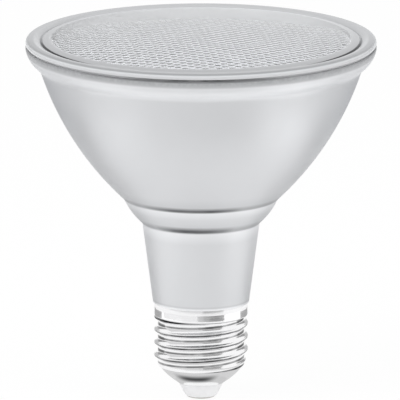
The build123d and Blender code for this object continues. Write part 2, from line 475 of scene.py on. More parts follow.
SAME_RADIUS = 0.02
SAME_LEVEL = 0.001
moved = 0
for vertex in shell.data.vertices:
    radius, height = hypot(vertex.co.x, vertex.co.y) / MM, vertex.co.z / MM
    on_barrel = abs(radius - BARREL_TOP[0]) < SAME_RADIUS
    if on_barrel and BARREL_FOOT[1] - SAME_LEVEL < height < BARREL_TOP[1] + SAME_LEVEL:
        scale = thread_radius(atan2(vertex.co.y, vertex.co.x), height) / radius
        vertex.co.x *= scale
        vertex.co.y *= scale
        moved += scale > 1
shell.data.update()
print("points rolled out to the thread:", moved)

# %% [markdown]
# ## The insulating tip and the contact
# The cone is closed by a moulded tip that carries the centre contact. The tip fills the cone
# and stands out below it as a short taper, and the contact is a rivet whose rounded head is
# the lowest point of the lamp. A cone and a flattened ball could stand for them, but they are
# turned like the rest, so that the rivet's stem fits the hole in the tip.

# %% Tip and contact
TIP_SEAT = (11.49, 9.2)
TIP_WAIST = (5.9, 4.25)
TIP_HEAD = (6.25, 4.25)
TIP_ROUND = (4.65, 1.05)
TIP_EDGE = (4.15, 0.55)
TIP_ROUND_RADIUS = 0.5
TIP_EASE = 0.12
STEM_HOLE = (1.55, 4.6)
CONTACT_EDGE = (4.05, 0.55)
CONTACT_FACE = 3.15
CONTACT_STEPS = 10
STEM = (1.5, 4.55)

tip_outline = [
    (0, TIP_SEAT[1]),
    TIP_SEAT,
    *arc(TIP_SEAT, TIP_WAIST, CONE_RADIUS, steps=8),
    TIP_HEAD,
    TIP_ROUND,
    *arc(TIP_ROUND, TIP_EDGE, TIP_ROUND_RADIUS, steps=6),
    (STEM_HOLE[0], TIP_EDGE[1]),
    STEM_HOLE,
    (0, STEM_HOLE[1]),
]
tip = turn_piece("moulded_tip", tip_outline, [(TIP_HEAD, TIP_EASE)])

contact_round = [
    (
        CONTACT_FACE + (CONTACT_EDGE[0] - CONTACT_FACE) * sin(pi / 2 * step / CONTACT_STEPS),
        CONTACT_EDGE[1] * (1 - cos(pi / 2 * step / CONTACT_STEPS)),
    )
    for step in range(CONTACT_STEPS + 1)
]
contact_outline = [(0, 0), *contact_round, (STEM[0], CONTACT_EDGE[1]), STEM, (0, STEM[1])]
contact = turn_piece("contact_rivet", contact_outline)

# %% [markdown]
# ## Every piece takes the place of its CAD node
# Nothing on this lamp moves, so all pieces ride on the one body of the frame.

# %% Ride and replace
pieces = (
    (body, "reflector_body", "silvered_glass"),
    (lens, "front_lens", "lens_glass"),
    (seal, "lens_seal", "sealant"),
    (shell, "screw_shell", "nickel_plate"),
    (tip, "insulator", "white_insulator"),
    (contact, "centre_contact", "contact_metal"),
)
for piece, node, slot in pieces:
    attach(piece, "root")
    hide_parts(node)
print("pieces on the frame:", len(pieces))

# %% [markdown]
# ## Colours and nodes
# Colours are written as the hex values that a colour picker shows, and one function turns
# them into the linear values that the renderer works with. A second one turns a table of
# places and tones into the stops of a colour ramp. A third adds a node, and gives each of its
# sockets a value or a link. Every finish starts in the same way, so a fourth does that.


# %% Colours and nodes
def linear(hex_colour):
    """A colour picker's hex value as linear red, green, blue and alpha."""
    channels = [int(hex_colour[place : place + 2], 16) / 255 for place in (1, 3, 5)]
    return (*[c / 12.92 if c <= 0.04045 else ((c + 0.055) / 1.055) ** 2.4 for c in channels], 1)


def ramp_stops(table, start, end):
    """Ramp stops out of a table of places from start to end, each with a hex tone or a depth."""
    stops = []
    for spot, tone in table:
        colour = linear(tone) if isinstance(tone, str) else (tone, tone, tone, 1)
        stops.append(((spot - start) / (end - start), colour))
    return stops


def add_node(tree, kind, sockets=None, stops=(), **settings):
    """Add a node with its settings and stops, and give each named socket a value or a link."""
    node = tree.nodes.new(kind)
    for name, value in settings.items():
        setattr(node, name, value)
    for name, value in (sockets or {}).items():
        if isinstance(value, bpy.types.NodeSocket):
            tree.links.new(value, node.inputs[name])
        else:
            node.inputs[name].default_value = value
    elements = node.color_ramp.elements if stops else []
    while len(elements) < len(stops):
        elements.new(1.0)
    for element, (position, colour) in zip(elements, stops):
        element.position = position
        element.color = colour
    return node


def new_finish(name, *painted):
    """A material with an empty tree, put on the painted pieces."""
    material = bpy.data.materials.new(name)
    material.use_nodes = True
    material.node_tree.nodes.clear()
    for piece in painted:
        piece.data.materials.clear()
        piece.data.materials.append(material)
    print("finish:", name)
    return material.node_tree


# %% [markdown]
# ## Places on a round piece
# Most of the finishes change with the distance from the axis, or are stronger on one side of the
# lamp. Both come from the object's own coordinates with the height taken out, so the marks stay
# where they are when the lamp is turned. Azimuths run from the lamp's front to its right.


# %% Radius and side
def flat_place(tree, place):
    """The point's place with its height taken out."""
    flat = {0: place.outputs["Object"], 1: (1, 1, 0)}
    return add_node(tree, "ShaderNodeVectorMath", flat, operation="MULTIPLY").outputs["Vector"]


def axis_radius(tree, place):
    """The point's distance from the axis."""
    flat = {0: flat_place(tree, place)}
    return add_node(tree, "ShaderNodeVectorMath", flat, operation="LENGTH").outputs["Value"]


def sideness(tree, place, azimuth):
    """One where the point lies at that azimuth, and less the further round it lies."""
    flat = {0: flat_place(tree, place)}
    around = add_node(tree, "ShaderNodeVectorMath", flat, operation="NORMALIZE")
    way = {0: around.outputs["Vector"], 1: (sin(azimuth), -cos(azimuth), 0)}
    return add_node(tree, "ShaderNodeVectorMath", way, operation="DOT_PRODUCT").outputs["Value"]


# %% [markdown]
# ## Silvered glass
# The bowl is pressed glass with aluminium evaporated onto it, which gives the eye a satin
# silver. The coat is densest in the upper bowl and thinner down to the neck, and the rim is
# nearly bare glass. A picture wrapped round the lamp could show this, but the lamp is turned,
# so ramps over the height say it in a few tones: one for the colour, one for the painted shade
# in the corners and one for how metallic the surface is. The colour ramp also holds painted
# highlights and painted shade: a bright band under the rim, and light and dark lines at the
# steps and at both ends of the neck.

# %% Tones of the silver
# Silver tones over the height, with painted highlights and painted shade bands among them.
SILVER_TONES_AND_PAINTED_LIGHT = (
    (NECK_FOOT[1], "#eff0f1"),
    (NECK_FOOT[1] + 0.5, "#e6e7e9"),
    (NECK_FOOT[1] + 0.8, "#c2c3c5"),
    (NECK_FOOT[1] + 1.3, "#d1d2d4"),
    (NECK_TOP[1] - 3.5, "#d3d4d6"),
    (NECK_TOP[1] - 0.1, "#e6e7e9"),
    (NECK_TOP[1] + 0.3, "#d0d1d3"),
    (STEP_FOOT[1] - 1.2, "#d6d7d9"),
    (BOWL_FOOT[1] - 0.2, "#e8e9eb"),
    (BOWL_FOOT[1] + 0.2, "#cdced0"),
    (BOWL_FOOT[1] + 4.5, "#d8d9db"),
    (BOWL_FOOT[1] + 18, "#d6d7d9"),
    (BOWL_TOP[1] - 0.9, "#d3d4d6"),
    (BOWL_TOP[1] + 0.1, "#e4e5e7"),
    (BOWL_TOP[1] + 0.7, "#f0f1f3"),
    (BOWL_TOP[1] + 1.5, "#e8e9eb"),
    (RIM_LAND[1] - 2.2, "#dadbdd"),
    (RIM_LAND[1] - 1.45, "#d7d8da"),
    (RIM_LAND[1] - 0.85, "#b1b2b4"),
    (RIM_TOP, "#a2a3a5"),
)
# Depth of the painted shade in the corners and at the rim's edge, over the height.
CORNER_SHADE_DEPTHS = (
    (NECK_TOP[1] - 0.1, 0.0),
    (NECK_TOP[1] + 0.15, 0.85),
    (NECK_TOP[1] + 0.9, 0.95),
    (NECK_TOP[1] + 2.2, 0.0),
    (BOWL_FOOT[1] - 0.1, 0.0),
    (BOWL_FOOT[1] + 0.1, 0.9),
    (BOWL_FOOT[1] + 0.6, 1.0),
    (BOWL_FOOT[1] + 1.7, 0.0),
    (RIM_TOP - 0.5, 0.0),
    (RIM_TOP - 0.3, 0.75),
)
METAL_SHARES = (
    (NECK_TOP[1], 0.4),
    (BOWL_FOOT[1] + 4, 0.45),
    (BOWL_FOOT[1] + 14, 0.55),
    (BOWL_TOP[1] - 10, 0.92),
    (BOWL_TOP[1] - 2, 0.92),
    (BOWL_TOP[1] + 1, 0.5),
    (RIM_LAND[1] - 2, 0.5),
    (RIM_LAND[1] - 0.6, 0.1),
)

silver = new_finish("aluminised_pressed_glass", body)
place = add_node(silver, "ShaderNodeTexCoord")
parts = add_node(silver, "ShaderNodeSeparateXYZ", {"Vector": place.outputs["Object"]})
level = add_node(
    silver,
    "ShaderNodeMapRange",
    {"Value": parts.outputs["Z"], "From Min": NECK_FOOT[1] * MM, "From Max": RIM_TOP * MM},
)
# tone is the silver with its painted light, corner is the painted shade in the corners, coated is
# the metal share.
tone, corner, coated = [
    add_node(
        silver,
        "ShaderNodeValToRGB",
        {"Fac": level.outputs["Result"]},
        ramp_stops(table, NECK_FOOT[1], RIM_TOP),
    )
    for table in (SILVER_TONES_AND_PAINTED_LIGHT, CORNER_SHADE_DEPTHS, METAL_SHARES)
]
print("tones over the height:", len(SILVER_TONES_AND_PAINTED_LIGHT))

# %% [markdown]
# ## Painted shade in the corners
# The two inside corners of the shoulder get a painted shade, which shows as dark lines. The
# lines could be cut as grooves, but the corners are smooth to the touch, so they are painted
# in the finish. The rim's upper edge gets the same painted shade, beside the seal. All three
# are darkest over one side, at the lamp's front, and a slow noise makes them uneven.

# %% Painted corner shade
CORNER_SHADE_TONE = "#454648"
CORNER_SHADE_PATCH_MM = 9
CORNER_SHADE_LEVELS = (0.35, 0.6)
CORNER_SHADE_LEAST = 0.8
CORNER_SHADE_AZIMUTH = radians(-7)
CORNER_SHADE_SIDE = (0.78, 0.98)
CORNER_SHADE_ELSEWHERE = 0.32

uneven = add_node(
    silver,
    "ShaderNodeTexNoise",
    {"Vector": place.outputs["Object"], "Scale": 1 / (CORNER_SHADE_PATCH_MM * MM), "Detail": 2.0},
)
patchy_corner_shade = add_node(
    silver,
    "ShaderNodeMapRange",
    {
        "Value": uneven.outputs["Fac"],
        "From Min": CORNER_SHADE_LEVELS[0],
        "From Max": CORNER_SHADE_LEVELS[1],
        "To Min": CORNER_SHADE_LEAST,
    },
)
painted_shade_side = add_node(
    silver,
    "ShaderNodeMapRange",
    {
        "Value": sideness(silver, place, CORNER_SHADE_AZIMUTH),
        "From Min": CORNER_SHADE_SIDE[0],
        "From Max": CORNER_SHADE_SIDE[1],
        "To Min": CORNER_SHADE_ELSEWHERE,
    },
)
# The painted shade in the corners, strongest at the front and broken up by a noise.
thin = corner.outputs["Color"]
for weight in (patchy_corner_shade, painted_shade_side):
    thin = add_node(
        silver, "ShaderNodeMath", {0: thin, 1: weight.outputs["Result"]}, operation="MULTIPLY"
    ).outputs[0]
tone_with_corner_shade = add_node(
    silver,
    "ShaderNodeMix",
    {"Factor": thin, "A": tone.outputs["Color"], "B": linear(CORNER_SHADE_TONE)},
    data_type="RGBA",
)
print("share of the dark lines away from the front:", CORNER_SHADE_ELSEWHERE)

# %% [markdown]
# ## Grainy rim and white mouth
# The mould leaves a fine grain on the rim. The mouth under the lens is painted white, so that
# light goes back out through the lenslets. Two more pieces could carry these finishes, but the
# body is one pressing, so the grain is laid on by height and the white by radius and height.

# %% Rim and mouth
RIM_GRAIN_MM = 1.1
RIM_GRAIN_LEVELS = (0.35, 0.65)
RIM_GRAIN_SHARE = 0.35
RIM_GRAIN_START = RIM_LAND[1] - 0.9
RIM_GRAIN_TONE = "#7b7c7e"
MOUTH_RADIUS = 43.8
MOUTH_FLOOR = RECESS_FLOOR - 0.3
MOUTH_WHITE = "#fcfcfc"

grain = add_node(
    silver,
    "ShaderNodeTexNoise",
    {"Vector": place.outputs["Object"], "Scale": 1 / (RIM_GRAIN_MM * MM), "Detail": 2.0},
)
speckle = add_node(
    silver,
    "ShaderNodeMapRange",
    {
        "Value": grain.outputs["Fac"],
        "From Min": RIM_GRAIN_LEVELS[0],
        "From Max": RIM_GRAIN_LEVELS[1],
        "To Max": RIM_GRAIN_SHARE,
    },
)
on_rim = add_node(
    silver,
    "ShaderNodeMapRange",
    {
        "Value": parts.outputs["Z"],
        "From Min": RIM_GRAIN_START * MM,
        "From Max": RIM_LAND[1] * MM,
    },
)
speckle = add_node(
    silver,
    "ShaderNodeMath",
    {0: speckle.outputs["Result"], 1: on_rim.outputs["Result"]},
    operation="MULTIPLY",
)
grainy = add_node(
    silver,
    "ShaderNodeMix",
    {"Factor": speckle.outputs[0], "A": tone_with_corner_shade.outputs["Result"], "B": linear(RIM_GRAIN_TONE)},
    data_type="RGBA",
)
near = add_node(
    silver,
    "ShaderNodeMath",
    {0: axis_radius(silver, place), 1: MOUTH_RADIUS * MM},
    operation="LESS_THAN",
)
above = add_node(
    silver, "ShaderNodeMath", {0: parts.outputs["Z"], 1: MOUTH_FLOOR * MM}, operation="GREATER_THAN"
)
mouth = add_node(
    silver, "ShaderNodeMath", {0: near.outputs[0], 1: above.outputs[0]}, operation="MULTIPLY"
)
painted = add_node(
    silver,
    "ShaderNodeMix",
    {"Factor": mouth.outputs[0], "A": grainy.outputs["Result"], "B": linear(MOUTH_WHITE)},
    data_type="RGBA",
)
metal = add_node(
    silver,
    "ShaderNodeMapRange",
    {"Value": mouth.outputs[0], "To Min": coated.outputs["Color"], "To Max": 0.0},
)
print("white mouth, radius in mm:", MOUTH_RADIUS)

# %% [markdown]
# ## The silver's surface
# Pressed glass is a little wavy, and the coat on it is satin. One slow noise does both: it
# bends the reflections slightly and makes the gloss uneven.

# %% Silvered surface
PRESS_RIPPLE_MM = 5
PRESS_RIPPLE_HEIGHT_MM = 0.006
SATIN = (0.38, 0.48)
SILVER_EDGE = "#b8babd"

ripple = add_node(
    silver,
    "ShaderNodeTexNoise",
    {"Vector": place.outputs["Object"], "Scale": 1 / (PRESS_RIPPLE_MM * MM), "Detail": 2.0},
)
satin = add_node(
    silver,
    "ShaderNodeMapRange",
    {"Value": ripple.outputs["Fac"], "To Min": SATIN[0], "To Max": SATIN[1]},
)
pressed = add_node(
    silver,
    "ShaderNodeBump",
    {"Height": ripple.outputs["Fac"], "Distance": PRESS_RIPPLE_HEIGHT_MM * MM, "Strength": 1.0},
)
surface = add_node(
    silver,
    "ShaderNodeBsdfPrincipled",
    {
        "Base Color": painted.outputs["Result"],
        "Metallic": metal.outputs["Result"],
        "Roughness": satin.outputs["Result"],
        "Specular Tint": linear(SILVER_EDGE),
        "Normal": pressed.outputs["Normal"],
    },
)
add_node(silver, "ShaderNodeOutputMaterial", {"Surface": surface.outputs["BSDF"]})
print("nodes in the silver:", len(silver.nodes))

# %% [markdown]
# ## Lens glass
# The lens is clear pressed glass with a trace of haze, so most of its look comes from the
# shapes on its two faces. Its margin is bonded to the seal under it, which shows through as a
# milky grey. A second solid inside the glass could show that, but a ramp over the radius is
# enough: it gives each ring of the margin its tone, and light passes only inside it. The ring
# tones also hold painted highlights and painted shade on the bead. The back half of the margin
# gets a painted shade.

# %% Clear face and milky margin
CLEAR_EDGE = 41.2
MILKY_EDGE = 42.0
HAZE = 0.01
# Milky margin tones by radius, with painted highlights and painted shade on the bead.
MARGIN_TONES_AND_PAINTED_LIGHT = (
    (MILKY_EDGE, "#a9aaac"),
    (FACE_EDGE[0] - 0.2, "#a4a5a7"),
    (CREASE[0] + 0.3, "#cccdcf"),
    (BEAD_INSIDE[0] - 0.4, "#c6c7c9"),
    (BEAD_INSIDE[0] + 0.2, "#969799"),
    (BEAD_SHOULDER[0] + 0.7, "#929395"),
    (BEAD_EDGE[0] - 0.15, "#ccced0"),
    (BEAD_EDGE[0], "#c2c3c5"),
)
# Painted shade over the back half of the margin.
MARGIN_SHADE = "#b2b3b5"
MARGIN_SHADED = (-6, 8)
MARGIN_SHADE_SHARE = 0.8

clear = new_finish("clear_pressed_glass", lens)
place = add_node(clear, "ShaderNodeTexCoord")
parts = add_node(clear, "ShaderNodeSeparateXYZ", {"Vector": place.outputs["Object"]})
radius = axis_radius(clear, place)
see_through = add_node(
    clear,
    "ShaderNodeMapRange",
    {
        "Value": radius,
        "From Min": CLEAR_EDGE * MM,
        "From Max": MILKY_EDGE * MM,
        "To Min": 1 - HAZE,
        "To Max": 0.0,
    },
)
across = add_node(
    clear,
    "ShaderNodeMapRange",
    {"Value": radius, "From Min": MILKY_EDGE * MM, "From Max": BEAD_EDGE[0] * MM},
)
margin = add_node(
    clear,
    "ShaderNodeValToRGB",
    {"Fac": across.outputs["Result"]},
    ramp_stops(MARGIN_TONES_AND_PAINTED_LIGHT, MILKY_EDGE, BEAD_EDGE[0]),
)
shaded = add_node(
    clear,
    "ShaderNodeMapRange",
    {
        "Value": parts.outputs["Y"],
        "From Min": MARGIN_SHADED[0] * MM,
        "From Max": MARGIN_SHADED[1] * MM,
        "To Max": MARGIN_SHADE_SHARE,
    },
)
shaded_margin = add_node(
    clear,
    "ShaderNodeMix",
    {
        "Factor": shaded.outputs["Result"],
        "A": margin.outputs["Color"],
        "B": linear(MARGIN_SHADE),
    },
    data_type="RGBA",
)
print("see-through radius in mm:", CLEAR_EDGE)

# %% [markdown]
# ## Painted shade in the crease
# The crease round the lens gets a painted shade. A thin ring could be laid there, but the
# shade needs no thickness, so the glass is darkened and roughened over a narrow band on the
# crease's inner wall. The band is thickest at the two sides and fades towards the back.

# %% Crease
# The painted shade in the crease: where it lies, how wide, how strong at the sides, and its tone.
CREASE_SHADE_RADIUS = CREASE[0] - 0.15
CREASE_SHADE_HALF_WIDTH = 0.46
CREASE_SHADE_SIDES = (28, 41)
CREASE_SHADE_WEIGHTS = (0.3, 3.0)
CREASE_SHADE_TONE = "#0a0a0b"
CREASE_SHADE_ROUGHNESS = 0.85


def band(tree, value, middle, half_width, depth=1.0, **settings):
    """The depth where the value is in the middle, fading to zero at the half width."""
    away = add_node(tree, "ShaderNodeMath", {0: value, 1: middle}, operation="SUBTRACT")
    away = add_node(tree, "ShaderNodeMath", {0: away.outputs[0]}, operation="ABSOLUTE")
    fade = {"Value": away.outputs[0], "From Max": half_width, "To Min": depth, "To Max": 0.0}
    return add_node(tree, "ShaderNodeMapRange", fade, **settings).outputs["Result"]


in_crease = band(clear, radius, CREASE_SHADE_RADIUS * MM, CREASE_SHADE_HALF_WIDTH * MM)
sideways = add_node(clear, "ShaderNodeMath", {0: parts.outputs["X"]}, operation="ABSOLUTE")
shade_by_side = add_node(
    clear,
    "ShaderNodeMapRange",
    {
        "Value": sideways.outputs[0],
        "From Min": CREASE_SHADE_SIDES[0] * MM,
        "From Max": CREASE_SHADE_SIDES[1] * MM,
        "To Min": CREASE_SHADE_WEIGHTS[0],
        "To Max": CREASE_SHADE_WEIGHTS[1],
    },
)
lit = add_node(
    clear, "ShaderNodeMath", {0: 1.0, 1: shaded.outputs["Result"]}, operation="SUBTRACT"
)
crease_shade = in_crease
for weight in (shade_by_side.outputs["Result"], lit.outputs[0]):
    crease_shade = add_node(
        clear, "ShaderNodeMath", {0: crease_shade, 1: weight}, operation="MULTIPLY", use_clamp=True
    ).outputs[0]
margin_and_crease_tone = add_node(
    clear,
    "ShaderNodeMix",
    {"Factor": crease_shade, "A": shaded_margin.outputs["Result"], "B": linear(CREASE_SHADE_TONE)},
    data_type="RGBA",
)
print("grime in the crease, half width in mm:", CREASE_SHADE_HALF_WIDTH)

# %% [markdown]
# ## The glass's surface
# Pressing leaves the faces very slightly wavy, so one slow noise bends the surface and makes
# its gloss uneven. A thin film of dust lies on the glass. A flat view looks along the film, so
# it hides the lenslets at the far side of the dome, and the shader's sheen does just that.

# %% Glass surface
CLEAR_TONE = "#fafbfd"
LENS_WAVE_MM = 7
LENS_WAVE_HEIGHT_MM = 0.002
FILM = (0.01, 0.06)
GLASS_IOR = 1.5
DUST_FILM = 0.62
DUST_SPREAD = 0.4
DUST_TONE = "#fafcff"

tone = add_node(
    clear,
    "ShaderNodeMix",
    {"Factor": see_through.outputs["Result"], "A": margin_and_crease_tone.outputs["Result"], "B": linear(CLEAR_TONE)},
    data_type="RGBA",
)
wave = add_node(
    clear,
    "ShaderNodeTexNoise",
    {"Vector": place.outputs["Object"], "Scale": 1 / (LENS_WAVE_MM * MM), "Detail": 1.0},
)
film = add_node(
    clear,
    "ShaderNodeMapRange",
    {"Value": wave.outputs["Fac"], "To Min": FILM[0], "To Max": FILM[1]},
)
film_and_crease_roughness = add_node(
    clear,
    "ShaderNodeMath",
    {0: crease_shade, 1: CREASE_SHADE_ROUGHNESS, 2: film.outputs["Result"]},
    operation="MULTIPLY_ADD",
)
wavy = add_node(
    clear,
    "ShaderNodeBump",
    {"Height": wave.outputs["Fac"], "Distance": LENS_WAVE_HEIGHT_MM * MM, "Strength": 1.0},
)
surface = add_node(
    clear,
    "ShaderNodeBsdfPrincipled",
    {
        "Base Color": tone.outputs["Result"],
        "Roughness": film_and_crease_roughness.outputs[0],
        "IOR": GLASS_IOR,
        "Sheen Weight": DUST_FILM,
        "Sheen Roughness": DUST_SPREAD,
        "Sheen Tint": linear(DUST_TONE),
        "Transmission Weight": see_through.outputs["Result"],
        "Normal": wavy.outputs["Normal"],
    },
)
add_node(clear, "ShaderNodeOutputMaterial", {"Surface": surface.outputs["BSDF"]})
print("nodes in the lens glass:", len(clear.nodes))

# %% [markdown]
# ## Sealant
# The two glass rims are joined by a pale silicone sealant. Where it lies between the glasses it
# is pale. Its outer lip, in the gap, gets a painted shade that makes a thin dark line round the
# lamp. A ramp over the radius keeps the painted shade on the lip. The line is paler in
# patches, and at the two sides of the lamp.

# %% Sealant
# Sealant tones by radius: pale inside, with a painted shade on the outer lip.
SEAL_TONES_AND_LIP_SHADE = (
    (SEAL_INSIDE, "#d4d6d8"),
    (SEAL_OUTSIDE - 0.7, "#c6c8ca"),
    (SEAL_OUTSIDE - 0.2, "#48494a"),
)
SEAL_PALE = "#c9cacc"
SEAL_PATCH_MM = 8
SEAL_PATCH_LEVELS = (0.45, 0.62)
SEAL_PATCH_SHARE = 0.4
SEAL_PALE_SIDES = (8, 22)
SEAL_SIDE_SHARE = 0.85
SEAL_GRAIN_MM = 0.8
SEAL_GLOSS = (0.45, 0.7)

rubber = new_finish("cured_silicone_sealant", seal)
place = add_node(rubber, "ShaderNodeTexCoord")
parts = add_node(rubber, "ShaderNodeSeparateXYZ", {"Vector": place.outputs["Object"]})
across = add_node(
    rubber,
    "ShaderNodeMapRange",
    {
        "Value": axis_radius(rubber, place),
        "From Min": SEAL_INSIDE * MM,
        "From Max": SEAL_OUTSIDE * MM,
    },
)
tone = add_node(
    rubber,
    "ShaderNodeValToRGB",
    {"Fac": across.outputs["Result"]},
    ramp_stops(SEAL_TONES_AND_LIP_SHADE, SEAL_INSIDE, SEAL_OUTSIDE),
)
patches = add_node(
    rubber,
    "ShaderNodeTexNoise",
    {"Vector": place.outputs["Object"], "Scale": 1 / (SEAL_PATCH_MM * MM), "Detail": 2.0},
)
clean = add_node(
    rubber,
    "ShaderNodeMapRange",
    {
        "Value": patches.outputs["Fac"],
        "From Min": SEAL_PATCH_LEVELS[0],
        "From Max": SEAL_PATCH_LEVELS[1],
        "To Max": SEAL_PATCH_SHARE,
    },
)
sideways = add_node(rubber, "ShaderNodeMath", {0: parts.outputs["X"]}, operation="ABSOLUTE")
shade_by_side = add_node(
    rubber,
    "ShaderNodeMapRange",
    {
        "Value": sideways.outputs[0],
        "From Min": SEAL_PALE_SIDES[0] * MM,
        "From Max": SEAL_PALE_SIDES[1] * MM,
        "To Max": SEAL_SIDE_SHARE,
    },
)
pale = add_node(
    rubber,
    "ShaderNodeMath",
    {0: clean.outputs["Result"], 1: shade_by_side.outputs["Result"]},
    operation="MAXIMUM",
)
lip_shade_tone = add_node(
    rubber,
    "ShaderNodeMix",
    {"Factor": pale.outputs[0], "A": tone.outputs["Color"], "B": linear(SEAL_PALE)},
    data_type="RGBA",
)
grain = add_node(
    rubber,
    "ShaderNodeTexNoise",
    {"Vector": place.outputs["Object"], "Scale": 1 / (SEAL_GRAIN_MM * MM), "Detail": 2.0},
)
dull = add_node(
    rubber,
    "ShaderNodeMapRange",
    {"Value": grain.outputs["Fac"], "To Min": SEAL_GLOSS[0], "To Max": SEAL_GLOSS[1]},
)
surface = add_node(
    rubber,
    "ShaderNodeBsdfPrincipled",
    {"Base Color": lip_shade_tone.outputs["Result"], "Roughness": dull.outputs["Result"]},
)
add_node(rubber, "ShaderNodeOutputMaterial", {"Surface": surface.outputs["BSDF"]})
print("nodes in the sealant:", len(rubber.nodes))

# %% [markdown]
# ## Nickel plate
# The cap is brass sheet with bright nickel on it, which is a nearly colourless mirror. Drawing
# and rolling leave very fine lines round the cap. They are too fine to show at this size, so
# they are drawn about ten times as coarse, and they only stretch the reflections a little.

# %% Rolling lines
ROLLING_LINE_MM = 0.35
ROLLING_LINE_STRETCH = 14
ROLLING_LINE_HEIGHT_MM = 0.0008
NICKEL_TONES = ((0, "#f2f2f3"), (1, "#fcfcfd"))
POLISH = (0.11, 0.19)

nickel = new_finish("bright_nickel_plate", shell)
place = add_node(nickel, "ShaderNodeTexCoord")
parts = add_node(nickel, "ShaderNodeSeparateXYZ", {"Vector": place.outputs["Object"]})
stretched = add_node(
    nickel,
    "ShaderNodeMapping",
    {"Vector": place.outputs["Object"], "Scale": (1, 1, ROLLING_LINE_STRETCH)},
)
lines = add_node(
    nickel,
    "ShaderNodeTexNoise",
    {
        "Vector": stretched.outputs["Vector"],
        "Scale": 1 / (ROLLING_LINE_MM * ROLLING_LINE_STRETCH * MM),
        "Detail": 2.0,
    },
)
tone = add_node(
    nickel, "ShaderNodeValToRGB", {"Fac": lines.outputs["Fac"]}, ramp_stops(NICKEL_TONES, 0, 1)
)
polish = add_node(
    nickel,
    "ShaderNodeMapRange",
    {"Value": lines.outputs["Fac"], "To Min": POLISH[0], "To Max": POLISH[1]},
)
rolled_lines = add_node(
    nickel,
    "ShaderNodeBump",
    {"Height": lines.outputs["Fac"], "Distance": ROLLING_LINE_HEIGHT_MM * MM, "Strength": 1.0},
)
print("rolling lines, spacing in mm:", ROLLING_LINE_MM)

# %% [markdown]
# ## Painted shade along the thread
# Two lines of painted shade follow the thread, one in the bottom of each hollow and one just
# under each crest. They could be painted ring by ring, but they have to climb with the helix.
# So each point's place in its turn is worked out from its height and angle, a ramp says how
# dark it is there, and a noise breaks the lines up.

# %% Thread lines
THREAD_SHADES = (
    (0.0, 0.4),
    (0.03, 0.0),
    (0.38, 0.0),
    (0.45, 0.8),
    (0.54, 0.8),
    (0.61, 0.0),
    (0.8, 0.0),
    (0.87, 1.0),
    (0.97, 1.0),
    (1.0, 0.4),
)
THREAD_SHADE_PATCH_MM = 3
THREAD_SHADE_LEVELS = (0.35, 0.6)
THREAD_SHADE_LEAST = 0.75

angle = add_node(
    nickel, "ShaderNodeMath", {0: parts.outputs["Y"], 1: parts.outputs["X"]}, operation="ARCTAN2"
)
climb = add_node(
    nickel,
    "ShaderNodeMath",
    {0: angle.outputs[0], 1: -1 / (2 * pi), 2: -HELIX_FOOT / THREAD_PITCH},
    operation="MULTIPLY_ADD",
)
turns = add_node(
    nickel,
    "ShaderNodeMath",
    {0: parts.outputs["Z"], 1: 1 / (THREAD_PITCH * MM), 2: climb.outputs[0]},
    operation="MULTIPLY_ADD",
)
in_turn = add_node(nickel, "ShaderNodeMath", {0: turns.outputs[0]}, operation="FRACT")
thread_shade_line = add_node(
    nickel, "ShaderNodeValToRGB", {"Fac": in_turn.outputs[0]}, ramp_stops(THREAD_SHADES, 0, 1)
)
patches = add_node(
    nickel,
    "ShaderNodeTexNoise",
    {"Vector": place.outputs["Object"], "Scale": 1 / (THREAD_SHADE_PATCH_MM * MM), "Detail": 2.0},
)
uneven = add_node(
    nickel,
    "ShaderNodeMapRange",
    {
        "Value": patches.outputs["Fac"],
        "From Min": THREAD_SHADE_LEVELS[0],
        "From Max": THREAD_SHADE_LEVELS[1],
        "To Min": THREAD_SHADE_LEAST,
    },
)
above = add_node(
    nickel,
    "ShaderNodeMath",
    {0: parts.outputs["Z"], 1: BARREL_FOOT[1] * MM},
    operation="GREATER_THAN",
)
below = add_node(
    nickel, "ShaderNodeMath", {0: parts.outputs["Z"], 1: BARREL_TOP[1] * MM}, operation="LESS_THAN"
)
nickel_shade = thread_shade_line.outputs["Color"]
for weight in (uneven.outputs["Result"], above.outputs[0], below.outputs[0]):
    nickel_shade = add_node(
        nickel, "ShaderNodeMath", {0: nickel_shade, 1: weight}, operation="MULTIPLY"
    ).outputs[0]
print("dull lines follow a pitch of", round(THREAD_PITCH, 3), "mm")

# %% [markdown]
# ## Painted shade under the skirt and on the cone
# The tuck under the skirt gets a painted shade all the way round. The cone has one soft patch
# of painted shade on one side, at the lamp's front, whose ends turn up. Both are laid in the
# finish by height, and the patch's height rises with the distance round the cone.

# %% Tuck line and cone shade
TUCK_HEIGHT = 23.35
TUCK_HALF_WIDTH = 0.3
TUCK_DEPTH = 0.55
CONE_SHADE_HEIGHT = 6.9
CONE_SHADE_HALF_WIDTH = 1.7
CONE_SHADE_DEPTH = 0.95
CONE_SHADE_AZIMUTH = radians(-9)
CONE_SHADE_SIDE = (0.78, 0.99)
CONE_SHADE_RISE = 3.0

